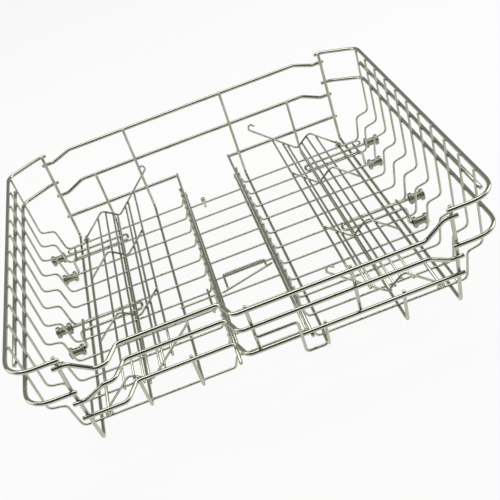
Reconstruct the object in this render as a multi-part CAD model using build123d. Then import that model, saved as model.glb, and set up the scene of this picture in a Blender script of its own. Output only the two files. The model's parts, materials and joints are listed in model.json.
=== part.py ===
"""Upper rack of a dishwasher: a coated wire basket with two fold-up plate rows and eight guide rollers.

Millimetres. X runs to the right, Y to the back and Z up, and x = 0 is the middle plane.
Heights in this file are measured from the axis of the floor wires. save() lifts every piece,
so that the finished rack stands on its four lower rollers at z = 0.
"""

import os
from math import cos, hypot, radians, sin, tan

from build123d import *

# Wires, measured over their plastic coat
cross_dia = 3.0
hoop_dia = 4.0
post_dia = 4.5
rail_dia = 5.0
fence_dia = 4.0
fence_base_dia = 3.5
pin_dia = 3.0
row_dia = 3.0
rod_dia = 4.0
axle_dia = 4.0
tie_dia = 3.5
notch_dia = 3.5
clip_dia = 3.0
staple_dia = 2.5
thin_limit = 3.5  # wires up to this size have thin_sides, thicker ones thick_sides
thin_sides = 6
thick_sides = 8
chord_angle = 40.0  # turn of a bend that one straight chord stands for
wide_chord_angle = 22.5  # the same in bends of wide_bend and more
wide_bend = 20.0
touch = 0.02  # what two welded wires stand apart, so that the solids meet without sinking into each other
bend_room_share = 0.98  # most of half a run that a bend may take up

# Cross wires: U-shaped, side by side from back to front
wire_count = 11
wire_pitch = 38.06
floor_half = 232.7
ledge_height = 37.0
ledge_lean = 5.0
ledge_width = 19.3
ledge_rise = 3.6
wall_lean = 2.2
rim_height = 136.8
wire_above_rim = 1.5
tunnel_foot = 50.0
tunnel_half = 44.0
tunnel_height = 14.4
stub_end = 36.5
cross_bend = 6.0

# Walls
back_overhang = 32.0
front_overhang = 26.3
front_lean = 11.64
lean_height = 91.0  # the front posts lean up to here and stand upright above
post_inset = 20.7
post_above_rim = 2.5
hoop_bend = 6.0
corner_bend = 28.0
back_corner_cut = 9.0
back_corner_start = 5.0
back_corner_bend = 10.0
rail_bend = 8.0
side_low_below_rim = 46.0
side_mid_below_rim = 21.3
rail_past_post = 6.0
side_mid_past_wire = 5.0

# Back rails
back_top_below_rim = 3.8
back_top_dip = 10.0
back_second_height = 82.0
back_second_dip = 12.5
back_third_height = 31.5
back_dip_start_inset = 39.0  # inside the corner posts
back_dip_end_inset = 12.0

# Front rails, with the left bay set back
front_top_below_rim = 26.2
front_top_rise = 17.4
front_second_below_rim = 49.8
front_second_drop = 14.0
front_third_height = 46.0
front_change_start_inset = 33.0  # inside the corner posts
front_change_end_inset = 10.0
front_rail_bend = 3.0
recess = 26.0
recess_out_inset = 45.0  # outer end of the bay, inside the left corner post
recess_in_inset = 58.0
recess_right_in = -40.0
recess_right_out = -31.0

# Lengthwise hoops under the floor: where they stand and where their front legs rise
far_left_hoop_inset = 60.0  # inside the corner posts
far_right_hoop_inset = 63.5
hoop_left = -90.0
hoop_right = 58.0
recessed_toe = 19.0
right_toe = 10.5
leg_above_rail = 3.0

# Short front uprights and the wire that frames the notch between them
upright_left = -16.5
upright_right = 98.6
notch_below_second = 14.0
notch_foot = 20.0
notch_turn = 29.5
notch_bend = 4.0
notch_tail = 20.0

# Divider fences on both edges of the raised middle
fence_top_half = 41.0
fence_base_half = 39.0
fence_above_third = 1.0  # top wire over the lowest back rail
fence_back_end = 3.0
fence_front_end = 4.0
pin_count = 2  # in each gap between cross wires
pin_above = 2.0

# Fold-up plate rows
hinge_inset = 32.2  # inside the foot of the side walls
hinge_clearance = 0.3
crest_run = 37.0  # from the hinge towards the middle
crest_height = 38.0
valley_run = 59.5
valley_height = 20.5
row_top_run = 120.5
row_top_height = 77.5
row_hook_rise = 9.0
row_hook_crown = 2.5
row_hook_reach = 10.0
row_hook_tip = 2.25
row_bend = 5.0
row_hook_bend = 3.0
# Each zigzag: cross wires counted from the back, and its distance behind that one
left_row_places = ((0, 4.7), (3, 5.88), (7, 15.12), (10, 8.3))
right_row_places = ((0, 4.7), (3, 5.88), (7, 12.12), (10, 4.3))
row_back_over = 9.7  # ends of the long wires, behind the first and the last cross wire
row_front_over = 3.3
short_row_length = 46.0
outer_slope_wires = (34.0,)
inner_slope_wires = (7.4, 18.8, 26.3)
rising_slope_wires = (14.0, 22.5, 41.0)

# Guide rollers and the hairpin wires that carry them
roller_radius = 8.0
roller_barrel = 5.5
roller_length = 20.0
roller_flange = 4.5
roller_fit = 0.06
rear_axle_count = 1  # cross wires behind the rear hairpins
front_axle_count = 5
roller_sides = 24
upper_roller_outset = 13.8  # outside the foot of the side walls
lower_roller_outset = 8.3
lower_roller_drop = 27.5
hairpin_spacing = 15.5
hairpin_length = 92.7
hairpin_drop_inset = 6.7
hairpin_bend = 5.0
head_dia = 6.0
head_length = 1.6
roller_play = 0.4

# Small wires
staple_bend_share = 0.85  # of the reach round the hinge rod
hook_loop_inset = 0.7  # the rear staples' loop, inside the foot of the side walls
hook_loop_bend = 6.2
hook_foot_bend = 2.0
hook_end = 19.0
tie_inset = 12.7
tie_rear = 27.0
tie_front = 10.0
tie_length = 50.0
tie_over = 3.0
bay_tie_x = -53.3
bay_cross_back = 10.5  # the short cross wire of the left bay, in front of the cross wire behind it
bay_cross_inner = -45.5
bay_cross_over = 3.0
pipe_clip_count = 6  # cross wires behind the one that carries the clip
clip_half = 27.5
clip_back = 1.0
brace_left = 35.0  # the clip's slanting brace, in front of that cross wire
brace_right = 12.5
clip_bend = 3.0
stud_x = -17.7
stud_dia = 3.5
stud_head_dia = 6.5
stud_head_length = 6.0
stud_above = 11.0  # over the raised middle
stud_below = 6.0

# Places that follow from the sizes above
wire_y = [wire_pitch * ((wire_count - 1) / 2 - i) for i in range(wire_count)]
hoop_z = -(cross_dia + hoop_dia) / 2 - touch
post_z = -(cross_dia + post_dia) / 2 - touch
axle_z = hoop_z + (hoop_dia + axle_dia) / 2 + touch
tie_z = axle_z + (axle_dia + tie_dia) / 2 + touch
hinge_z = axle_z + (axle_dia + rod_dia) / 2 + hinge_clearance
fence_base_z = tunnel_height + (cross_dia + fence_base_dia) / 2 + touch
roller_flat = roller_radius * cos(radians(180 / roller_sides))
ground = lower_roller_drop + roller_flat - axle_z
post_x = floor_half - post_inset
side_low_height = rim_height - side_low_below_rim
side_mid_height = rim_height - side_mid_below_rim
back_top_height = rim_height - back_top_below_rim
front_top_height = rim_height - front_top_below_rim
front_second_height = rim_height - front_second_below_rim
notch_top = front_second_height - notch_below_second
hinge_x = floor_half - hinge_inset
row_back_end = wire_y[0] + row_back_over
row_front_end = wire_y[-1] + row_front_over
row_hinge = (hinge_x, hinge_z)
row_crest = (hinge_x - crest_run, crest_height)
row_valley = (hinge_x - valley_run, valley_height)
row_top = (hinge_x - row_top_run, row_top_height)
fence_top_height = back_third_height + fence_above_third
axle_beside = (cross_dia + axle_dia) / 2 + touch
rear_axle_y = wire_y[rear_axle_count] + axle_beside + hairpin_spacing
front_axle_y = wire_y[front_axle_count] - axle_beside
rail_y_back = wire_y[0] + back_overhang + (post_dia + rail_dia) / 2 + touch
lean_slope = tan(radians(front_lean))
lean_stretch = 1 / cos(radians(front_lean))


def wall_x(height):
    """Half width of the leaning side wall, on the axis of the cross wires."""
    ledge_top = ledge_height + ledge_rise
    foot = floor_half + ledge_lean + ledge_width
    return foot + wall_lean * (height - ledge_top) / (rim_height - ledge_top)


def post_y(height):
    """Axis of the front corner posts, which lean outward from the toe of the floor, then stand upright."""
    return wire_y[-1] - front_overhang - lean_slope * (min(height, lean_height) - post_z)


def rail_y(height):
    """Axis of a front rail, welded to the outside of the posts."""
    return post_y(height) - ((post_dia + rail_dia) / 2 + touch) * lean_stretch


def behind_rail_y(height, diameter):
    """Axis of an upright of the given size, standing inside the front rails."""
    return rail_y(height) + ((rail_dia + diameter) / 2 + touch) * lean_stretch


def section(diameter):
    """Outline of a wire: a polygon inside the true circle, with few sides for so many wires."""
    sides = thick_sides if diameter > thin_limit else thin_sides
    return RegularPolygon(radius=diameter / 2, side_count=sides)


def bend_points(before, corner, after, radius):
    """Points on the bend that takes the place of a corner, a few chords for each turn."""
    way_in = (corner - before).normalized()
    way_out = (after - corner).normalized()
    turn = way_in.get_angle(way_out)
    room = min((corner - before).length, (after - corner).length) / 2
    setback = min(radius * tan(radians(turn / 2)), room * bend_room_share)
    if setback < touch:
        return [corner]
    radius = setback / tan(radians(turn / 2))
    inward = (way_out - way_in * way_in.dot(way_out)).normalized()
    start = corner - way_in * setback
    chords = max(1, round(turn / (wide_chord_angle if radius >= wide_bend else chord_angle)))
    points = []
    for i in range(chords + 1):
        angle = radians(turn * i / chords)
        points.append(start + way_in * (radius * sin(angle)) + inward * (radius * (1 - cos(angle))))
    return points


def bent_wire(points, diameter, bend):
    """One wire swept along straight runs; bend is the radius at every corner, or a list of them."""
    corners = [Vector(*point) for point in points]
    radii = bend if isinstance(bend, list) else [bend] * (len(corners) - 2)
    route = [corners[0]]
    for i, radius in enumerate(radii, start=1):
        route += bend_points(corners[i - 1], corners[i], corners[i + 1], radius)
    route.append(corners[-1])
    path = Polyline(*route)
    start = Plane(origin=path @ 0, z_dir=path % 0)
    return sweep(start * section(diameter), path=path, transition=Transition.RIGHT)


def straight_wire(start, end, diameter):
    """One straight wire between two points on its axis."""
    run = Vector(*end) - Vector(*start)
    return extrude(Plane(origin=start, z_dir=run) * section(diameter), amount=run.length)


def mirrored(shape):
    """The same piece on the other side of the middle plane."""
    return mirror(shape, about=Plane.YZ)


def save(name, *shapes):
    """Write one node, moved so that the rack stands on its lower rollers over the middle of its box."""
    node = shapes[0] if len(shapes) == 1 else Compound(children=list(shapes))
    back = rail_y_back + fence_back_end
    front = rail_y(rim_height) - rail_dia / 2
    export_step(Pos(0, -(back + front) / 2, ground) * node, f"parts/{name}.step")


def half_profile(y):
    """Corners of a cross wire's right half, from the rim down to the edge of the raised middle."""
    return [
        (wall_x(rim_height + wire_above_rim), y, rim_height + wire_above_rim),
        (wall_x(ledge_height + ledge_rise), y, ledge_height + ledge_rise),
        (floor_half + ledge_lean, y, ledge_height),
        (floor_half, y, 0),
        (tunnel_foot, y, 0),
        (tunnel_half, y, tunnel_height),
    ]


def cross_wires():
    """The U-shaped wires; the rearmost one stops short of the middle on both sides."""
    wall_bends = [cross_bend, cross_bend, cross_bend]
    for number, y in enumerate(wire_y, start=1):
        right = half_profile(y)
        if number == 1:
            stub = right + [(stub_end, y, tunnel_height)]
            half = bent_wire(stub, cross_dia, wall_bends + [0, 0])
            save(f"cross_wire_{number:02d}", half, mirrored(half))
            continue
        left = [(-x, place, z) for x, place, z in reversed(right)]
        bends = wall_bends + [0, 0, 0, 0] + wall_bends
        save(f"cross_wire_{number:02d}", bent_wire(right + left, cross_dia, bends))


def side_rails():
    """Rim, middle and low rail of each side, outside the cross wires; rim and low rail wrap the corners."""
    offset = (cross_dia + rail_dia) / 2 + touch
    end_x = post_x - rail_past_post
    for name, height in (("rim_rail", rim_height), ("side_low_rail", side_low_height)):
        x = wall_x(height) + offset
        front = rail_y(height)
        corners = [
            (end_x, rail_y_back, height),
            (post_x + back_corner_start, rail_y_back, height),
            (x, wire_y[0] + back_corner_cut, height),
            (x, front, height),
            (end_x, front, height),
        ]
        rail = bent_wire(corners, rail_dia, [back_corner_bend, back_corner_bend, corner_bend])
        save(f"right_{name}", rail)
        save(f"left_{name}", mirrored(rail))
    x = wall_x(side_mid_height) + offset
    back = (x, wire_y[0] + side_mid_past_wire, side_mid_height)
    front = (x, wire_y[-1] - side_mid_past_wire, side_mid_height)
    middle = straight_wire(back, front, rail_dia)
    save("right_side_mid_rail", middle)
    save("left_side_mid_rail", mirrored(middle))


def corner_hoops():
    """One wire a side: back corner post, run under the floor, leaning front corner post."""
    top = rim_height + post_above_rim
    back = wire_y[0] + back_overhang
    corners = [
        (post_x, back, top),
        (post_x, back, post_z),
        (post_x, post_y(post_z), post_z),
        (post_x, post_y(lean_height), lean_height),
        (post_x, post_y(top), top),
    ]
    hoop = bent_wire(corners, post_dia, hoop_bend)
    save("right_corner_hoop", hoop)
    save("left_corner_hoop", mirrored(hoop))


def floor_hoops():
    """Four wires under the floor that rise to a back rail and to the lowest front rail."""
    top_end = back_top_height + leg_above_rail
    second_end = back_second_height + leg_above_rail
    places = {
        "floor_hoop_far_left": (far_left_hoop_inset - post_x, second_end, recessed_toe, recess),
        "floor_hoop_left": (hoop_left, top_end, recessed_toe, recess),
        "floor_hoop_right": (hoop_right, top_end, right_toe, 0),
        "floor_hoop_far_right": (post_x - far_right_hoop_inset, second_end, 0, 0),
    }
    back = rail_y_back - (hoop_dia + rail_dia) / 2 - touch
    for name, (x, back_height, toe_back, set_back) in places.items():
        toe = post_y(post_z) + toe_back
        at_rail = behind_rail_y(front_third_height, hoop_dia) + set_back
        slope = (at_rail - toe) / (front_third_height - hoop_z)
        leg_end = front_third_height + leg_above_rail
        corners = [
            (x, back, back_height),
            (x, back, hoop_z),
            (x, toe, hoop_z),
            (x, toe + slope * (leg_end - hoop_z), leg_end),
        ]
        save(name, bent_wire(corners, hoop_dia, hoop_bend))


def back_rails():
    """Two long rails that dip at the corner posts and a short one on each side of the gap."""
    end_x = post_x + rail_past_post
    for name, height, dip in (
        ("back_top_rail", back_top_height, back_top_dip),
        ("back_second_rail", back_second_height, back_second_dip),
    ):
        half = [
            (end_x, rail_y_back, height - dip),
            (post_x - back_dip_end_inset, rail_y_back, height - dip),
            (post_x - back_dip_start_inset, rail_y_back, height),
        ]
        other = [(-x, y, z) for x, y, z in reversed(half)]
        save(name, bent_wire(half + other, rail_dia, rail_bend))
    inner = fence_top_half + fence_dia / 2 + touch
    start = (inner, rail_y_back, back_third_height)
    third = straight_wire(start, (end_x, rail_y_back, back_third_height), rail_dia)
    save("back_third_rails", third, mirrored(third))


def front_rails():
    """Three rails outside the leaning uprights, jogging back round the left bay."""
    end_x = post_x + rail_past_post
    for name, height, change in (
        ("front_top_rail", front_top_height, front_top_rise),
        ("front_second_rail", front_second_height, -front_second_drop),
        ("front_third_rail", front_third_height, 0),
    ):
        y = rail_y(height)
        end_z = height + change
        ends = [(end_x, rail_y(end_z), end_z)]
        if change:
            ends.append((post_x - front_change_end_inset, rail_y(end_z), end_z))
            ends.append((post_x - front_change_start_inset, y, height))
        jog = [
            (recess_out_inset - post_x, y, height),
            (recess_in_inset - post_x, y + recess, height),
            (recess_right_in, y + recess, height),
            (recess_right_out, y, height),
        ]
        left = [(-x, place, z) for x, place, z in ends]
        corners = left + jog + list(reversed(ends))
        save(name, bent_wire(corners, rail_dia, front_rail_bend))


def front_uprights():
    """Two short leaning uprights behind the front rails and the wire round the notch beside one of them."""
    low = front_third_height - leg_above_rail
    high = front_top_height + leg_above_rail
    pair = []
    for x in (upright_left, upright_right):
        heights = (low, lean_height, high)
        corners = [(x, behind_rail_y(z, hoop_dia), z) for z in heights]
        pair.append(bent_wire(corners, hoop_dia, hoop_bend))
    save("front_uprights", *pair)

    outside = ((rail_dia + notch_dia) / 2 + touch) * lean_stretch
    weld_y = behind_rail_y(notch_top, hoop_dia) - (hoop_dia / 2 + touch) * lean_stretch
    weld_y -= lean_slope * notch_dia / 2
    beside_leg = hoop_right - (hoop_dia + notch_dia) / 2 - touch
    top_y = rail_y(notch_top) - outside
    foot_y = rail_y(notch_foot) - outside
    corners = [
        (upright_left, weld_y, notch_top),
        (upright_left, top_y, notch_top),
        (notch_turn, top_y, notch_top),
        (notch_turn, foot_y, notch_foot),
        (beside_leg, foot_y, notch_foot),
        (beside_leg, foot_y + notch_tail, notch_foot),
    ]
    save("front_notch_wire", bent_wire(corners, notch_dia, notch_bend))


def fences():
    """A low fence on each edge of the raised middle: base wire, top wire and a row of pins outside both."""
    reach = (fence_dia + pin_dia) / 2 + touch
    front_z = front_third_height - (rail_dia + fence_dia) / 2 - touch
    front_y = rail_y(front_third_height)
    slope = (front_z - fence_top_height) / (front_y - rail_y_back)

    def top_z(y):
        return fence_top_height + slope * (y - rail_y_back)

    back = rail_y_back + fence_back_end
    front = front_y - fence_front_end
    top = straight_wire(
        (fence_top_half, back, top_z(back)), (fence_top_half, front, top_z(front)), fence_dia
    )
    ends = [(fence_base_half, y, fence_base_z) for y in (wire_y[0] + pin_dia, wire_y[-1] - pin_dia)]
    base = straight_wire(*ends, fence_base_dia)
    pins = []
    step = wire_pitch / pin_count
    for gap_back in wire_y[:-1]:
        for turn in range(pin_count):
            y = gap_back - step * (turn + 0.5)
            run_x = fence_top_half - fence_base_half
            run_z = top_z(y) - fence_base_z
            length = hypot(run_x, run_z)
            out_x = reach * run_z / length
            out_z = -reach * run_x / length
            over = pin_above / length
            foot = (fence_base_half + out_x - over * run_x, y, fence_base_z + out_z - over * run_z)
            head = (fence_top_half + out_x + over * run_x, y, top_z(y) + out_z + over * run_z)
            pins.append(straight_wire(foot, head, pin_dia))
    save("right_fence_wires", top, base)
    save("left_fence_wires", mirrored(top), mirrored(base))
    save("right_fence_pins", *pins)
    save("left_fence_pins", *[mirrored(pin) for pin in pins])


def along(start, end, distance):
    """The point that lies the given distance from start on the way to end, in the X-Z plane."""
    length = hypot(end[0] - start[0], end[1] - start[1])
    share = distance / length
    return (start[0] + share * (end[0] - start[0]), start[1] + share * (end[1] - start[1]))


def under(start, end, distance):
    """A wire's place below the sloping run from start to end, touching it."""
    length = hypot(end[0] - start[0], end[1] - start[1])
    gap = row_dia + touch
    x, z = along(start, end, distance)
    return (x + gap * (end[1] - start[1]) / -length, z + gap * (end[0] - start[0]) / length)


def zigzags(places):
    """Zigzag wires of a right-hand row; the outermost two end in a hook, the others stop below it."""
    start = along(row_hinge, row_crest, rod_dia / 2 + touch)
    hook = [
        (row_top[0] + row_hook_crown, row_top_height + row_hook_rise),
        (row_top[0] + row_hook_reach, row_top_height + row_hook_tip),
    ]
    long_run = [start, row_crest, row_valley, row_top] + hook
    short_run = [start, row_crest, row_valley, along(row_valley, row_top, short_row_length)]
    made = []
    for number, behind in places:
        y = wire_y[number] + behind
        run = long_run if number in (0, wire_count - 1) else short_run
        bends = [row_bend, row_bend, row_hook_bend, row_hook_bend][: len(run) - 2]
        made.append(bent_wire([(x, y, z) for x, z in run], row_dia, bends))
    return made


def long_wires():
    """Wires that run from back to front under the zigzags of a right-hand row."""
    places = [under(row_hinge, row_crest, d) for d in outer_slope_wires]
    places += [under(row_crest, row_valley, d) for d in inner_slope_wires]
    places += [under(row_valley, row_top, d) for d in rising_slope_wires]
    return [straight_wire((x, row_back_end, z), (x, row_front_end, z), row_dia) for x, z in places]


def plate_rows():
    """The two fold-up rows: zigzag wires, the long wires under them and the round rod they swing on."""
    rod_end = Plane(origin=(hinge_x, row_back_end, hinge_z), z_dir=(0, -1, 0))
    rod = extrude(rod_end * Circle(rod_dia / 2), row_back_end - wire_y[-1] + rod_dia)
    wires = long_wires()
    save("right_row_zigzags", *zigzags(right_row_places))
    save("left_row_zigzags", *[mirrored(z) for z in zigzags(left_row_places)])
    save("right_row_long_wires", *wires)
    save("left_row_long_wires", *[mirrored(w) for w in wires])
    save("right_row_hinge_rod", rod)
    save("left_row_hinge_rod", mirrored(rod))


def hinge_staples():
    """Staples over the rods of the plate rows; the rear ones run on in a loop to the axle hairpins."""
    reach = (rod_dia + staple_dia) / 2 + hinge_clearance
    over = reach * staple_bend_share
    before_wire = wire_y[0] - (cross_dia + staple_dia) / 2 - touch
    behind_axle = rear_axle_y + (axle_dia + staple_dia) / 2 + touch
    loop_x = floor_half - hook_loop_inset
    rear = [
        (hinge_x - reach, before_wire, -cross_dia / 2),
        (hinge_x - reach, before_wire, hinge_z + reach),
        (hinge_x + reach, before_wire, hinge_z + reach),
        (hinge_x + reach, before_wire, axle_z),
        (loop_x, before_wire, axle_z),
        (loop_x, behind_axle, axle_z),
        (loop_x - hook_end, behind_axle, axle_z),
    ]
    foot_z = cross_dia / 2 + touch
    front = [
        (hinge_x - reach, wire_y[-1], foot_z),
        (hinge_x - reach, wire_y[-1], hinge_z + reach),
        (hinge_x + reach, wire_y[-1], hinge_z + reach),
        (hinge_x + reach, wire_y[-1], foot_z),
    ]
    rear_bends = [over, over, hook_foot_bend, hook_loop_bend, hook_loop_bend]
    staples = [bent_wire(rear, staple_dia, rear_bends), bent_wire(front, staple_dia, over)]
    save("hinge_staples", *staples, *[mirrored(staple) for staple in staples])


def roller_axles():
    """Four hairpin wires: the rear leg is the upper roller's axle, the front leg drops to the lower one."""
    upper_x = floor_half + upper_roller_outset
    lower_x = floor_half + lower_roller_outset
    inner_x = floor_half - hairpin_length
    drop_x = floor_half - hairpin_drop_inset
    upper_end = upper_x + roller_length / 2 + roller_play
    lower_end = lower_x + roller_length / 2 + roller_play
    lower_z = axle_z - lower_roller_drop
    for name, y in (("rear", rear_axle_y), ("front", front_axle_y)):
        front = y - hairpin_spacing
        corners = [
            (upper_end, y, axle_z),
            (inner_x, y, axle_z),
            (inner_x, front, axle_z),
            (drop_x, front, axle_z),
            (drop_x, front, lower_z),
            (lower_end, front, lower_z),
        ]
        hairpin = bent_wire(corners, axle_dia, hairpin_bend)
        hairpin += straight_wire(corners[0], (upper_end + head_length, y, axle_z), head_dia)
        hairpin += straight_wire(corners[-1], (lower_end + head_length, front, lower_z), head_dia)
        save(f"right_{name}_axle", hairpin)
        save(f"left_{name}_axle", mirrored(hairpin))
        upper = Pos(upper_x, y, axle_z) * roller()
        lower = Pos(lower_x, front, lower_z) * roller()
        save(f"right_{name}_upper_roller", upper)
        save(f"left_{name}_upper_roller", mirrored(upper))
        save(f"right_{name}_lower_roller", lower)
        save(f"left_{name}_lower_roller", mirrored(lower))


def disc(radius, start, end):
    """A many-sided disc about the X axis with a flat at the bottom, from start to end along it."""
    face = Plane(origin=(start, 0, 0), x_dir=(0, 1, 0), z_dir=(1, 0, 0))
    outline = RegularPolygon(radius, roller_sides, rotation=180 / roller_sides)
    return extrude(face * outline, end - start)


def roller():
    """A spool about the X axis: a barrel between two flanges, bored for its axle."""
    half = roller_length / 2
    waist = half - roller_flange
    bore = Circle(axle_dia / 2 + roller_fit)
    spool = disc(roller_barrel, -half, half)
    spool += disc(roller_radius, -half, -waist)
    spool += disc(roller_radius, waist, half)
    return spool - extrude(Plane(origin=(-half, 0, 0), z_dir=(1, 0, 0)) * bore, roller_length)


def tie_wires():
    """Short wires over the axle hairpins, and the two that cross in the left bay."""
    rear = wire_y[rear_axle_count]
    middle = wire_y[front_axle_count]
    low_z = (cross_dia + tie_dia) / 2 + touch
    runs = []
    for x in (tie_inset - floor_half, floor_half - tie_inset):
        runs.append((x, rear + tie_rear, rear - tie_front, tie_z))
        runs.append((x, middle, middle - tie_length, tie_z))
        runs.append((x, wire_y[-2] + tie_over, wire_y[-1] - tie_over, low_z))
    bay_back = wire_y[pipe_clip_count]
    bay_front = wire_y[pipe_clip_count + 1]
    runs.append((bay_tie_x, bay_back + tie_over, bay_front - tie_front, low_z))
    ties = [straight_wire((x, back, z), (x, front, z), tie_dia) for x, back, front, z in runs]
    bay_y = bay_back - bay_cross_back
    ends = [(x, bay_y, 0) for x in (hoop_left - bay_cross_over, bay_cross_inner)]
    ties.append(straight_wire(*ends, cross_dia))
    save("tie_wires", *ties)


def spray_pipe_clip():
    """The wire clip of the spray pipe: a bail on a cross wire and the slanting brace before it."""
    clip_z = tunnel_height + (cross_dia + clip_dia) / 2 + touch
    rest = wire_y[pipe_clip_count]
    brace_half = fence_base_half - (fence_base_dia + clip_dia) / 2 - touch
    slope = (brace_left - brace_right) / (2 * brace_half)
    behind = clip_dia / 2 * (hypot(1, slope) + slope) + touch

    def leg_end(x):
        return rest - (brace_left + brace_right) / 2 + slope * x + behind

    bail = [
        (clip_half, leg_end(clip_half), clip_z),
        (clip_half, rest + clip_back, clip_z),
        (-clip_half, rest + clip_back, clip_z),
        (-clip_half, leg_end(-clip_half), clip_z),
    ]
    brace = [(-brace_half, rest - brace_left, clip_z), (brace_half, rest - brace_right, clip_z)]
    save("spray_pipe_clip", bent_wire(bail, clip_dia, clip_bend), straight_wire(*brace, clip_dia))


def spray_pipe_stud():
    """An upright stud with a thick head, welded to the front of the second cross wire."""
    y = wire_y[rear_axle_count] - (cross_dia + stud_dia) / 2 - touch
    top = tunnel_height + stud_above
    shoulder = (stud_x, y, top - stud_head_length)
    stud = straight_wire((stud_x, y, tunnel_height - stud_below), shoulder, stud_dia)
    save("spray_pipe_stud", stud + straight_wire(shoulder, (stud_x, y, top), stud_head_dia))


os.makedirs("parts", exist_ok=True)
cross_wires()
side_rails()
corner_hoops()
floor_hoops()
back_rails()
front_rails()
front_uprights()
fences()
plate_rows()
hinge_staples()
roller_axles()
tie_wires()
spray_pipe_clip()
spray_pipe_stud()
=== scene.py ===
# %% [markdown]
# # Dressing a wire rack
#
# This lesson dresses the upper rack of a dishwasher: a basket of bent and welded steel wire in a thin coat,
# with two fold-up plate rows and eight guide rollers. The CAD model gives every wire as a faceted bar,
# because there are so many of them. Here each bar becomes a smooth round wire on the same line,
# the welds get their small beads of coat, and the rollers their turned edges.
#
# The frame brings in the CAD nodes where they belong.

# %% Load the frame
import json
import math

import bmesh
import bpy
import numpy as np
from mathutils import Matrix, Vector
from mathutils.geometry import intersect_line_line


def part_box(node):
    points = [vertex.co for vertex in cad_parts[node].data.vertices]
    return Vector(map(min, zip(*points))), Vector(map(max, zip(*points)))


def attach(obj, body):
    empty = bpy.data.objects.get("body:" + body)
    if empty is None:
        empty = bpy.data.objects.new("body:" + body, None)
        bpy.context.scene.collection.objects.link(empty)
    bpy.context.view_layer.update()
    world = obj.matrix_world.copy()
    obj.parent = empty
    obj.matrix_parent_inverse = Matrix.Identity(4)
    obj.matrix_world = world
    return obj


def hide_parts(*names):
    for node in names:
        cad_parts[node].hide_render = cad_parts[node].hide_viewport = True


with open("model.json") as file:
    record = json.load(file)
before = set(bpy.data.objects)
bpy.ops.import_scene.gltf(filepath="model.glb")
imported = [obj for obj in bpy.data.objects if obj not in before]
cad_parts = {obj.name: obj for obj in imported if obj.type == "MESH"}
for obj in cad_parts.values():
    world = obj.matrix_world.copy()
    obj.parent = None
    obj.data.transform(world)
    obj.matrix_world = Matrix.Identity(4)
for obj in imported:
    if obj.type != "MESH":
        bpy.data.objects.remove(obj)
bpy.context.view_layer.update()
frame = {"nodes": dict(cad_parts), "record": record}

MM = 0.001

# %% [markdown]
# ## Camera
#
# The photograph looks down on the rack from the front, turned a little in the picture.
# The three directions below are the picture's right, its up and the way the lens looks.
# They were found by lining up the straight rails with the photograph, so the matrix is set from them
# directly; a Track To constraint could not give the turn about the lens axis.

# %% Camera at the photograph's viewing angle
picture_side = 500  # pixels
focal_length = 857.1  # pixels
sensor_width = 36.0  # mm
lens_place = Vector((-15.0, -916.4, 681.7)) * MM
lens_forward = Vector((0.028, 0.824, -0.566)).normalized()
picture_right = Vector((0.934, -0.223, -0.279))
picture_up = picture_right.cross(lens_forward).normalized()
picture_right = lens_forward.cross(picture_up)

lens = bpy.data.cameras.new("camera")
lens.sensor_width = sensor_width
lens.lens = focal_length / picture_side * sensor_width
camera = bpy.data.objects.new("camera", lens)
turned = Matrix((picture_right, picture_up, -lens_forward)).transposed()
camera.matrix_world = Matrix.Translation(lens_place) @ turned.to_4x4()
bpy.context.collection.objects.link(camera)
bpy.context.scene.camera = camera
print("camera", [round(v, 3) for v in lens_place], "lens", round(lens.lens, 1), "mm")

# %% [markdown]
# ## The ends of a wire
#
# A wire could be drawn again from typed points, but then it would drift from the CAD model.
# Each faceted bar already holds its own line, and a good place to pick it up is a cut end: a small flat face
# with many corners, all as far from its middle. Edges that only cut a flat face in two are dissolved first,
# on a copy, so that an end is one face and no ring of corners is broken.

# %% Know the end face of a bar
FLAT_ANGLE = math.radians(0.2)
WELD_DISTANCE = 0.002 * MM
LARGEST_END = 5.0 * MM
FEWEST_SIDES = 5
UNEVEN_SHARE = 0.02  # of the face's radius


def open_copy(node):
    """A joined copy of a CAD node's mesh, with its flat faces whole again."""
    mesh = bmesh.new()
    mesh.from_mesh(frame["nodes"][node].data)
    bmesh.ops.remove_doubles(mesh, verts=mesh.verts, dist=WELD_DISTANCE)
    bmesh.ops.dissolve_limit(mesh, angle_limit=FLAT_ANGLE, verts=mesh.verts, edges=mesh.edges)
    return mesh


def middle_of(corners):
    return sum((c.co for c in corners), Vector()) / len(corners)


def is_end(face):
    """An end face has many corners, all as far from its middle, and is small."""
    middle = middle_of(face.verts)
    reach = [(corner.co - middle).length for corner in face.verts]
    even = max(reach) - min(reach) < UNEVEN_SHARE * max(reach)
    return len(reach) >= FEWEST_SIDES and even and max(reach) < LARGEST_END


rollers = [name for name in frame["nodes"] if name.endswith("_roller")]
wires = sorted(name for name in frame["nodes"] if not name.endswith("_roller"))
print("nodes of wire", len(wires), "rollers", len(rollers))

# %% [markdown]
# ## From the end along the wire
#
# Between its two ends a bar has rings of corners, one at every bend. Starting at an end face and stepping
# from ring to ring along the edges gives the rings in order, and the middle of each ring is a point of
# the line. The spray pipe's stud has a head: there the next ring lies round the last one, in the same plane.

# %% Read the rings of a bar
HEAD_FACTOR = 1.2  # a ring this much wider than the wire belongs to a head
HEAD_REACH = 2.0  # of the ring's radius


def in_plane_of(layer, middle, corners, seen):
    """Unseen corners that lie in the plane of a ring, near it: the next ring where a head meets its shank."""
    first = layer[0].co - middle
    square = max((first.cross(c.co - middle) for c in layer), key=lambda v: v.length).normalized()
    reach = HEAD_REACH * first.length
    near = [c for c in corners if c not in seen and (c.co - middle).length < reach]
    return [c for c in near if abs((c.co - middle).dot(square)) < WELD_DISTANCE]


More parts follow.
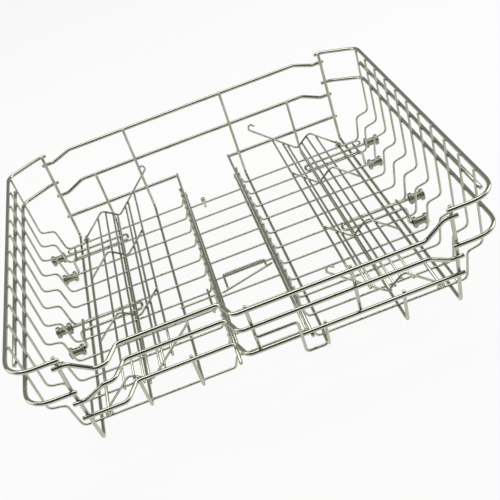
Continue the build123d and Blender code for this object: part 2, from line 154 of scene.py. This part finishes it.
def rings_from(start, corners, seen):
    """The rings of one bar in order, as (middle, radius)."""
    rings = []
    layer = list(start.verts)
    seen.update(layer)
    while layer:
        middle = middle_of(layer)
        rings.append((middle, min((corner.co - middle).length for corner in layer)))
        following = in_plane_of(layer, middle, corners, seen)
        if not following:
            following = {e.other_vert(c) for c in layer for e in c.link_edges} - seen
        layer = sorted(following, key=lambda corner: corner.index)
        seen.update(layer)
    return rings


def wire_lines(node):
    """All the wires of a node, each a list of (point, radius)."""
    mesh = open_copy(node)
    mesh.verts.index_update()
    seen = set()
    found = []
    for face in mesh.faces:
        if face.verts[0] in seen or not is_end(face):
            continue
        rings = rings_from(face, mesh.verts, seen)
        wire_radius = min(radius for _, radius in rings)
        heads = wire_radius * HEAD_FACTOR
        found.append([(p, r if r > heads else wire_radius) for p, r in rings])
    mesh.free()
    return found


lines = {name: wire_lines(name) for name in wires}
print("wires", sum(len(found) for found in lines.values()), "in", len(lines), "nodes")

# %% [markdown]
# ## Bends
#
# A wire former bends over a pin, so a bend is an arc, not a chain of straight chords. A Bevel modifier would
# round the bar's edges, but not its line. Instead each corner of the line is replaced by a small arc that
# starts and ends half a chord away. The front rails step back round the left bay in wider bends than
# the CAD model's chords: there each chain of chords is first drawn together to its one corner.

# %% Round the corners of a line
ARC_STEP = math.radians(7.0)
SHARP_TURN = math.radians(50.0)
SHARP_SETBACK = 3.0 * MM
SHORT_CHORD = 3.0 * MM
FRONT_BEND = 9.0 * MM
LEAST_ROOM = 0.01 * MM


def whole_corners(line):
    """The line with each chain of short chords drawn together to the one corner that it rounds."""
    made = [line[0]]
    i = 1
    while i < len(line) - 1:
        j = i
        while j + 2 < len(line) and (line[j + 1][0] - line[j][0]).length < SHORT_CHORD:
            j += 1
        point = line[i][0]
        if j > i:
            meet = intersect_line_line(line[i - 1][0], line[i][0], line[j][0], line[j + 1][0])
            point = (meet[0] + meet[1]) / 2
        made.append((point, line[i][1]))
        i = j + 1
    made.append(line[-1])
    return made


def rounded(line, bend=None):
    """The line with an arc at each corner, of the radius bend if that is given."""
    made = [line[0]]
    for before, here, after in zip(line, line[1:], line[2:]):
        way_in = here[0] - before[0]
        way_out = after[0] - here[0]
        room = min(way_in.length, way_out.length) / 2
        turn = way_in.angle(way_out, 0.0)
        if room < LEAST_ROOM or turn < FLAT_ANGLE:
            made.append(here)
            continue
        setback = min(room, SHARP_SETBACK) if turn > SHARP_TURN else room
        if bend:
            setback = min(room, bend * math.tan(turn / 2))
        way_in.normalize()
        way_out.normalize()
        radius = setback / math.tan(turn / 2)
        inward = (way_out - way_in * way_in.dot(way_out)).normalized()
        start = here[0] - way_in * setback
        steps = max(2, math.ceil(turn / ARC_STEP))
        for i in range(steps + 1):
            angle = turn * i / steps
            along = way_in * (radius * math.sin(angle))
            made.append((start + along + inward * (radius * (1 - math.cos(angle))), here[1]))
    made.append(line[-1])
    return made


front_top = lines["front_top_rail"][0]
print("front top rail", len(front_top), "points, rounded", len(rounded(whole_corners(front_top), FRONT_BEND)))

# %% [markdown]
# ## Cut ends
#
# The wires are cut to length before they are welded, and the coat closes over each cut as a low dome.
# A half ball would stand out too far, so the last rings are drawn in along a flat quarter ellipse.
# Points that fall together are dropped before and after, because a tube can't be skinned over them.

# %% Close the ends of a line
DOME_HEIGHT = 0.45  # of the wire's radius
DOME_RINGS = 4
SAME_PLACE = 0.005 * MM


def without_repeats(line):
    """Arcs of neighbouring corners meet in one point, which is wanted once."""
    kept = [line[0]]
    for point, radius in line[1:]:
        same = (point - kept[-1][0]).length < SAME_PLACE and abs(radius - kept[-1][1]) < SAME_PLACE
        if not same:
            kept.append((point, radius))
    return kept


def domed(line):
    """The line with both its ends drawn in to a low dome: one end, turned round, and the other."""
    for _ in range(2):
        tip, radius = line[0]
        inner = line[1][0]
        inward = (inner - tip).normalized()
        height = min(radius * DOME_HEIGHT, (inner - tip).length / 2)
        dome = []
        for i in range(DOME_RINGS):
            angle = math.pi / 2 * (i + 1) / DOME_RINGS
            dome.append((tip + inward * (height * (1 - math.cos(angle))), radius * math.sin(angle)))
        line = list(reversed(dome + line[1:]))
    return line


print("dome on the front top rail", round(front_top[0][1] * DOME_HEIGHT / MM, 2), "mm high")

# %% [markdown]
# ## Round wire
#
# Drawn wire is round, two and a half to five millimetres thick here. A bevelled curve would be the quick way
# to make it, but its rings lean over where steps are short. Instead a round ring of corners is set square
# to the line at every step, carried on from the last ring so that the tube doesn't twist, and the rings
# are joined by faces.

# %% Skin a line with a round tube
THIN_WIRE = 1.8 * MM
THIN_SIDES = 12
THICK_SIDES = 16
SHORTEST_STEP = 0.004 * MM


def ways_along(points):
    """The direction of a line at each of its points, halfway between the steps on both sides."""
    ways = []
    for i in range(len(points)):
        way = Vector()
        for a, b in ((i - 1, i), (i, i + 1)):
            if 0 <= a and b < len(points) and (points[b] - points[a]).length > SHORTEST_STEP:
                way += (points[b] - points[a]).normalized()
        ways.append(way.normalized() if way.length > 0 else ways[-1])
    return ways


def add_tube(mesh, line, bend=None):
    """One closed round tube round a line of (point, radius)."""
    line = rounded(whole_corners(line), bend) if bend else rounded(line)
    line = without_repeats(domed(without_repeats(line)))
    ways = ways_along([point for point, _ in line])
    sides = THIN_SIDES if max(radius for _, radius in line) < THIN_WIRE else THICK_SIDES
    side = ways[0].orthogonal().normalized()
    rings = []
    for (point, radius), way in zip(line, ways):
        side = (side - way * side.dot(way)).normalized()
        across = way.cross(side)
        ring = []
        for k in range(sides):
            angle = 2 * math.pi * k / sides
            ring.append(mesh.verts.new(point + (side * math.cos(angle) + across * math.sin(angle)) * radius))
        rings.append(ring)
    for ring, following in zip(rings, rings[1:]):
        for k in range(sides):
            j = (k + 1) % sides
            mesh.faces.new((ring[k], ring[j], following[j], following[k]))
    mesh.faces.new(list(reversed(rings[0])))
    mesh.faces.new(rings[-1])


print("sides of a thin wire", THIN_SIDES, "and of a thick one", THICK_SIDES)

# %% [markdown]
# ## All the wires
#
# Every CAD node of wire gets one dressed piece, which rides the same body and stands in for the node in
# the picture. A node can hold several wires, such as the pins of a fence, and each gets its own closed tube.
# Shading is smooth along a wire and sharp only at true edges.

# %% Build the round wires
SMOOTH_ANGLE = math.radians(35.0)


def piece_from(mesh, name, smooth=True):
    """A new object in the scene from a bmesh, shaded smooth across its gentle edges."""
    data = bpy.data.meshes.new(name)
    bmesh.ops.recalc_face_normals(mesh, faces=mesh.faces)
    mesh.to_mesh(data)
    mesh.free()
    for face in data.polygons:
        face.use_smooth = smooth
    data.set_sharp_from_angle(angle=SMOOTH_ANGLE)
    piece = bpy.data.objects.new(name, data)
    bpy.context.collection.objects.link(piece)
    return piece


body_of_node = {}
for body, members in frame["record"]["behaviour"]["bodies"].items():
    for member in members:
        body_of_node[member] = body

coated = []
for name, found in lines.items():
    mesh = bmesh.new()
    is_front_rail = name.startswith("front_") and name.endswith("_rail")
    for line in found:
        add_tube(mesh, line, FRONT_BEND if is_front_rail else None)
    wire = piece_from(mesh, f"{name}_round")
    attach(wire, body_of_node[name])
    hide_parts(name)
    coated.append(wire)
print("round wires", len(coated), "faces", sum(len(w.data.polygons) for w in coated))

# %% [markdown]
# ## Where the wires are welded
#
# Wherever two wires of one body cross and touch, they are spot welded before the rack is coated. The places
# need no list: two wires touch where their lines pass each other at the sum of their radii. Each straight run
# is tried against all later ones at once with arrays, which is much faster than a loop over every pair.

# %% Find the touching places
WELD_GAP = 0.08 * MM
PARALLEL = math.sin(math.radians(12.0))
SHORTEST_RUN = 0.5 * MM
ONE_LINE = 0.2 * MM  # lines this close run into each other, and there is no side to set a bead on


def runs_of(names):
    """Start, end, radius and number of the wire for every straight run that isn't too short."""
    starts, ends, radii, owners = [], [], [], []
    number = 0
    for name in names:
        for line in lines[name]:
            number += 1
            for (a, radius), (b, other) in zip(line, line[1:]):
                if (b - a).length > SHORTEST_RUN:
                    starts.append(a)
                    ends.append(b)
                    radii.append(min(radius, other))
                    owners.append(number)
    return np.array(starts), np.array(ends), np.array(radii), np.array(owners)


def touching(names):
    """(place, normal, small radius) of every crossing where two wires touch."""
    start, end, radius, owner = runs_of(names)
    way = end - start
    squared = np.einsum("ij,ij->i", way, way)
    found = []
    for i in range(len(start) - 1):
        j = np.arange(i + 1, len(start))
        offset = start[i] - start[j]
        shared = way[j] @ way[i]
        on_mine = offset @ way[i]
        on_other = np.einsum("ij,ij->i", way[j], offset)
        spread = squared[i] * squared[j] - shared * shared
        crossing = spread > PARALLEL**2 * squared[i] * squared[j]
        safe = np.where(crossing, spread, 1.0)
        # How far up each run the two pass closest, as a share of the run
        up_mine = np.clip((shared * on_other - on_mine * squared[j]) / safe, 0, 1)
        up_other = np.clip((shared * up_mine + on_other) / squared[j], 0, 1)
        up_mine = np.clip((shared * up_other - on_mine) / squared[i], 0, 1)
        mine = start[i] + up_mine[:, None] * way[i]
        other = start[j] + up_other[:, None] * way[j]
        apart = np.linalg.norm(mine - other, axis=1)
        meet = crossing & (owner[j] != owner[i]) & (apart < radius[i] + radius[j] + WELD_GAP)
        for k in np.nonzero(meet)[0]:
            if apart[k] < ONE_LINE:
                continue
            normal = Vector((other[k] - mine[k]) / apart[k])
            place = Vector(mine[k]) + normal * float(radius[i])
            small = float(min(radius[i], radius[j[k]]))
            if all((place - kept).length > small for kept, _, _ in found):
                found.append((place, normal, small))
    return found


welds = {}
for body, members in frame["record"]["behaviour"]["bodies"].items():
    wired = [name for name in members if name in lines]
    if wired:
        welds[body] = touching(wired)
print("welds", {body: len(found) for body, found in welds.items()})

# %% [markdown]
# ## Beads of coat
#
# When the rack is coated, the melt runs into the narrow gap round each weld and stays there as a small bead.
# Joining the tubes with a Boolean and a bevel would give that fillet too, but at hundreds of crossings
# it is slow and often fails. A flattened ball in the plane where the two wires meet looks the same
# at this size.

# %% Set a bead of coat at each weld
BEAD_SPREAD = 1.05  # of the thinner wire's radius
BEAD_DEPTH = 0.5
BEAD_SUBDIVISIONS = 2

for body, found in welds.items():
    mesh = bmesh.new()
    for place, normal, small in found:
        turn = normal.to_track_quat("Z", "Y").to_matrix().to_4x4()
        size = Matrix.Diagonal((small * BEAD_SPREAD, small * BEAD_SPREAD, small * BEAD_DEPTH, 1.0))
        set_in = Matrix.Translation(place) @ turn @ size
        bmesh.ops.create_icosphere(mesh, subdivisions=BEAD_SUBDIVISIONS, radius=1.0, matrix=set_in)
    beads = piece_from(mesh, f"{body}_weld_beads")
    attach(beads, body)
    coated.append(beads)
print("beads", sum(len(found) for found in welds.values()), "in", len(welds), "pieces")

# %% [markdown]
# ## Sizes of a roller
#
# The rack runs on eight small spools: a barrel between two flanges, with a bore for the axle wire.
# Their sizes could be typed again, but they are all in the CAD node: its box gives the length and the flange,
# its nearest corners to the axis the bore, and the corners between the end faces the barrel.

# %% Measure a roller
INSIDE_SHARE = 0.95  # of the half length: corners nearer than this aren't on the end faces


def spool_sizes(node):
    """Middle, half length, flange, barrel and bore radius, and half length of the barrel of a roller."""
    low, high = (Vector(v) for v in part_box(node))
    middle = (low + high) / 2
    half = (high.x - low.x) / 2
    mesh = open_copy(node)
    corners = [(v.co.x - middle.x, math.hypot(v.co.y - middle.y, v.co.z - middle.z)) for v in mesh.verts]
    mesh.free()
    flange = (high.z - low.z) / 2
    bore = min(r for _, r in corners)
    inner = [(abs(x), r) for x, r in corners if abs(x) < half * INSIDE_SHARE]
    waist = max(x for x, _ in inner)
    barrel = min(r for _, r in inner)
    return middle, half, flange, barrel, bore, waist


spools = {name: spool_sizes(name) for name in rollers}
for name, (_, half, flange, barrel, bore, _) in spools.items():
    print(name, "length, flange, barrel, bore", [round(v / MM, 2) for v in (2 * half, flange, barrel, bore)])

# %% [markdown]
# ## Rollers
#
# A moulder keeps the walls of one thickness, so each end is hollowed round the axle: the dark holes in the
# photograph. The mould also leaves small round edges. A roller is the same all round, so one outline with
# these edges is turned about the axle. A Screw modifier could do that; here the rings are joined directly.

# %% Turn the rollers
EDGE_ROUND = 0.6 * MM
LIP_ROUND = EDGE_ROUND / 2
HOLLOW_RADIUS = 5.0 * MM
HOLLOW_DEPTH = 3.6 * MM
ROLLER_STEPS = 48


def arc(centre, radius, start, end, steps=4):
    angles = [math.radians(start + (end - start) * i / steps) for i in range(steps + 1)]
    return [(centre[0] + radius * math.cos(a), centre[1] + radius * math.sin(a)) for a in angles]


def spool_outline(half, flange, barrel, bore, waist):
    """The closed outline of a roller as (place along the axle, distance from it)."""
    edge = EDGE_ROUND
    right_half = [(0.0, barrel)]
    right_half += arc((waist - edge, barrel + edge), edge, -90, 0)
    right_half += arc((waist + edge, flange - edge), edge, 180, 90)
    right_half += arc((half - edge, flange - edge), edge, 90, 0)
    right_half += arc((half - LIP_ROUND, HOLLOW_RADIUS + LIP_ROUND), LIP_ROUND, 0, -90)
    right_half += [(half - HOLLOW_DEPTH, HOLLOW_RADIUS), (half - HOLLOW_DEPTH, bore), (0.0, bore)]
    return right_half + [(-x, r) for x, r in reversed(right_half[1:-1])]


moulded = []
for name, (middle, *sizes) in spools.items():
    outline = spool_outline(*sizes)
    mesh = bmesh.new()
    turned_rings = []
    for k in range(ROLLER_STEPS):
        angle = 2 * math.pi * k / ROLLER_STEPS
        spin = Vector((0.0, math.cos(angle), math.sin(angle)))
        turned_rings.append([mesh.verts.new(middle + Vector((x, 0, 0)) + spin * r) for x, r in outline])
    for k in range(ROLLER_STEPS):
        here = turned_rings[k]
        after = turned_rings[(k + 1) % ROLLER_STEPS]
        for i in range(len(outline)):
            j = (i + 1) % len(outline)
            mesh.faces.new((here[i], here[j], after[j], after[i]))
    roller = piece_from(mesh, f"{name}_turned")
    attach(roller, body_of_node[name])
    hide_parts(name)
    moulded.append(roller)
print("rollers", len(moulded), "with", len(outline), "points in the outline")

# %% [markdown]
# ## Colours and nodes
#
# A material is a small graph of nodes. Typing one out takes three lines a node, so one function adds a node,
# sets its values and links it in one go. Colours are written as they look on a screen, in sRGB,
# and one function turns them into the linear values that the renderer counts with.

# %% Helpers for materials


def colour(hex_code):
    """An sRGB hex colour as linear RGBA."""
    parts = [int(hex_code[i : i + 2], 16) / 255 for i in (1, 3, 5)]
    linear = [p / 12.92 if p <= 0.04045 else ((p + 0.055) / 1.055) ** 2.4 for p in parts]
    return (*linear, 1.0)


def add(tree, kind, inputs=None, **settings):
    """One node with its settings; an input given as a socket is linked, any other is set."""
    made = tree.nodes.new(kind)
    for key, value in settings.items():
        setattr(made, key, value)
    for key, value in (inputs or {}).items():
        if isinstance(value, bpy.types.NodeSocket):
            tree.links.new(value, made.inputs[key])
        else:
            made.inputs[key].default_value = value
    return made


def per_metre(size):
    """Noise scale for features of the given size in millimetres, on coordinates in metres."""
    return 1.0 / (size * MM)


def fresh_material(name):
    material = bpy.data.materials.new(name)
    material.use_nodes = True
    material.node_tree.nodes.clear()
    return material, material.node_tree


print("grey #808080 is", round(colour("#808080")[0], 3), "in linear light")

# %% [markdown]
# ## Coat of the wires
#
# The wires are steel in a coat of grey polyamide powder with metal flake, melted on in a fluid bed.
# The flake makes it mirror the room nearly as bare wire would, and that is what the photograph shows:
# a dark line along each wire, with pale edges that almost melt into the ground. A plain grey plastic
# can't give that line, so the coat is nearly a metal here, and the room that it mirrors matters as much
# as its colour.

# %% Polyamide coat with metal flake
CLOUD_SIZE = 35.0  # mm, slow changes in the thickness of the coat
WAVE_SIZE = 6.0  # mm, soft waves of the melted coat: the highlight along a wire wavers a little
GRAIN_SIZE = 7.0  # mm, uneven gloss; real flake is far too fine to show, so it is drawn this coarse

coat, tree = fresh_material("metal_flake_polyamide_coat")
place = add(tree, "ShaderNodeTexCoord").outputs["Object"]
cloud = add(tree, "ShaderNodeTexNoise", {"Vector": place, "Scale": per_metre(CLOUD_SIZE), "Detail": 3.0})
wave = add(tree, "ShaderNodeTexNoise", {"Vector": place, "Scale": per_metre(WAVE_SIZE), "Detail": 1.0})
grain = add(tree, "ShaderNodeTexNoise", {"Vector": place, "Scale": per_metre(GRAIN_SIZE), "Detail": 4.0})
tint = add(
    tree,
    "ShaderNodeMix",
    {"Factor": cloud.outputs["Fac"], "A": colour("#AEAFA0"), "B": colour("#C4C5B6")},
    data_type="RGBA",
)
gloss = add(tree, "ShaderNodeMapRange", {"Value": grain.outputs["Fac"], "To Min": 0.08, "To Max": 0.18})
skin = add(tree, "ShaderNodeBump", {"Height": wave.outputs["Fac"], "Strength": 0.2, "Distance": 0.1 * MM})
surface = add(
    tree,
    "ShaderNodeBsdfPrincipled",
    {
        "Base Color": tint.outputs["Result"],
        "Roughness": gloss.outputs["Result"],
        "Normal": skin.outputs["Normal"],
        "Metallic": 0.95,
    },
)
add(tree, "ShaderNodeOutputMaterial", {"Surface": surface.outputs["BSDF"]})
for piece in coated:
    piece.data.materials.append(coat)
print(coat.name, "on", len(coated), "pieces")

# %% [markdown]
# ## Plastic of the rollers
#
# The rollers are acetal, a slippery moulded plastic, in a grey with metal pigment: part of it mirrors
# the room, as on the wires, and part of it is plain grey. Running on the guide rails leaves faint rings
# round the barrel. Noise that reads only the place along the axle gives such rings, with no texture
# to unwrap.

# %% Moulded acetal
RING_SIZE = 1.6  # mm, rings left by the guide rail
PORE_SIZE = 0.9  # mm, uneven skin of the mould

acetal, tree = fresh_material("moulded_acetal")
place = add(tree, "ShaderNodeTexCoord").outputs["Object"]
axis = add(tree, "ShaderNodeSeparateXYZ", {"Vector": place})
on_axle = add(tree, "ShaderNodeCombineXYZ", {"X": axis.outputs["X"]}).outputs["Vector"]
ring = add(tree, "ShaderNodeTexNoise", {"Vector": on_axle, "Scale": per_metre(RING_SIZE), "Detail": 3.0})
fine = add(tree, "ShaderNodeTexNoise", {"Vector": place, "Scale": per_metre(PORE_SIZE), "Detail": 3.0})
tint = add(
    tree,
    "ShaderNodeMix",
    {"Factor": ring.outputs["Fac"], "A": colour("#8C8E7C"), "B": colour("#A8AA97")},
    data_type="RGBA",
)
gloss = add(tree, "ShaderNodeMapRange", {"Value": ring.outputs["Fac"], "To Min": 0.18, "To Max": 0.3})
skin = add(tree, "ShaderNodeBump", {"Height": fine.outputs["Fac"], "Strength": 0.25, "Distance": 0.05 * MM})
surface = add(
    tree,
    "ShaderNodeBsdfPrincipled",
    {
        "Base Color": tint.outputs["Result"],
        "Roughness": gloss.outputs["Result"],
        "Normal": skin.outputs["Normal"],
        "Metallic": 0.65,
        "IOR": 1.48,
    },
)
add(tree, "ShaderNodeOutputMaterial", {"Surface": surface.outputs["BSDF"]})
for piece in moulded:
    piece.data.materials.append(acetal)
print(acetal.name, "on", len(moulded), "pieces")

# %% [markdown]
# ## Floor
#
# The photograph has a plain white ground. More light would whiten a floor too, but it would wash out
# the rack. So the floor is a white sheet that the lens, and anything glossy, sees mostly as pure white.
# The rest of it is plain matt paper, which still takes the rack's soft shadow.

# %% White floor
FLOOR_REACH = 6.0
FLOOR_DROP = 0.4 * MM  # under the rollers, so that the two surfaces never flicker
PURE_WHITE_SHARE = 0.9

mesh = bmesh.new()
bmesh.ops.create_grid(mesh, x_segments=1, y_segments=1, size=FLOOR_REACH)
floor = piece_from(mesh, "floor", smooth=False)
floor.location.z = -FLOOR_DROP

paper, tree = fresh_material("white_paper_sheet")
path = add(tree, "ShaderNodeLightPath").outputs
seen = path["Is Camera Ray"]
for ray in ("Is Glossy Ray", "Is Transmission Ray"):
    seen = add(tree, "ShaderNodeMath", {0: seen, 1: path[ray]}, operation="MAXIMUM").outputs["Value"]
share = add(tree, "ShaderNodeMath", {0: seen, 1: PURE_WHITE_SHARE}, operation="MULTIPLY")
matt = add(tree, "ShaderNodeBsdfDiffuse", {"Color": colour("#F2F2EE")})
white = add(tree, "ShaderNodeEmission", {"Color": colour("#FFFFFF"), "Strength": 1.0})
sheet = add(tree, "ShaderNodeMixShader", {0: share.outputs[0], 1: matt.outputs[0], 2: white.outputs[0]})
add(tree, "ShaderNodeOutputMaterial", {"Surface": sheet.outputs[0]})
floor.data.materials.append(paper)
print("floor", 2 * FLOOR_REACH, "m wide, material", paper.name)

# %% [markdown]
# ## The room
#
# Shiny wire shows the room round it, so the room is part of the finish. In the photograph a wire
# is dark along the middle, where it faces the lens: the room behind the camera was dark. Walls could be
# built as meshes; the world's background does the same with one gradient from front to back.
# The lens itself still sees white past the floor.

# %% Dim studio round the rack
ROOM_FILL = 0.14  # even light from all sides
ROOM_BACK = 0.3  # what the wires mirror of the back wall
DARK_UP_TO = -0.8  # direction along Y, behind the camera
PALE_FROM = 0.6

world = bpy.data.worlds.new("studio")
bpy.context.scene.world = world
world.use_nodes = True
tree = world.node_tree
tree.nodes.clear()
path = add(tree, "ShaderNodeLightPath").outputs
direction = add(tree, "ShaderNodeTexCoord").outputs["Generated"]
way = add(tree, "ShaderNodeSeparateXYZ", {"Vector": direction})
walls = add(
    tree,
    "ShaderNodeMapRange",
    {
        "Value": way.outputs["Y"],
        "From Min": DARK_UP_TO,
        "From Max": PALE_FROM,
        "To Min": 0.0,
        "To Max": ROOM_BACK,
    },
)
mirrored = path["Is Glossy Ray"]
room = add(tree, "ShaderNodeMix", {"Factor": mirrored, "A": ROOM_FILL, "B": walls.outputs["Result"]})
shown = add(tree, "ShaderNodeMath", {0: room.outputs[0], 1: path["Is Camera Ray"]}, operation="MAXIMUM")
backdrop = add(tree, "ShaderNodeBackground", {"Color": colour("#FFFFFF"), "Strength": shown.outputs["Value"]})
add(tree, "ShaderNodeOutputWorld", {"Surface": backdrop.outputs[0]})
print("room", ROOM_FILL, "mirrored from 0 in front to", ROOM_BACK, "at the back")

# %% [markdown]
# ## Soft boxes
#
# A wide soft box hangs above the rack, a little to the back, and draws the pale upper edge along each wire.
# Two square ones stand at the sides, the right one stronger: it gives the white streak in the right corner
# of the rim. Area lights are used because a wire mirrors the shape of its light, and a point light would
# leave only dots.

# %% Three soft boxes
AIM = Vector((0, 0, 0.08))  # the middle of the rack


def soft_box(name, place, watts, width, height):
    """A soft box that looks at the middle of the rack."""
    data = bpy.data.lights.new(name, "AREA")
    data.energy = watts
    data.shape = "RECTANGLE"
    data.size = width
    data.size_y = height
    lamp = bpy.data.objects.new(name, data)
    lamp.location = place
    lamp.rotation_euler = (AIM - Vector(place)).to_track_quat("-Z", "Y").to_euler()
    bpy.context.collection.objects.link(lamp)
    print(name, watts, "W")


soft_box("top_light", place=(0.0, 0.32, 1.6), watts=20.0, width=2.4, height=0.95)
soft_box("right_light", place=(1.7, 0.1, 0.8), watts=9.5, width=1.0, height=1.0)
soft_box("left_light", place=(-1.7, 0.1, 0.8), watts=5.7, width=1.0, height=1.0)
bpy.context.scene.view_settings.view_transform = "Standard"
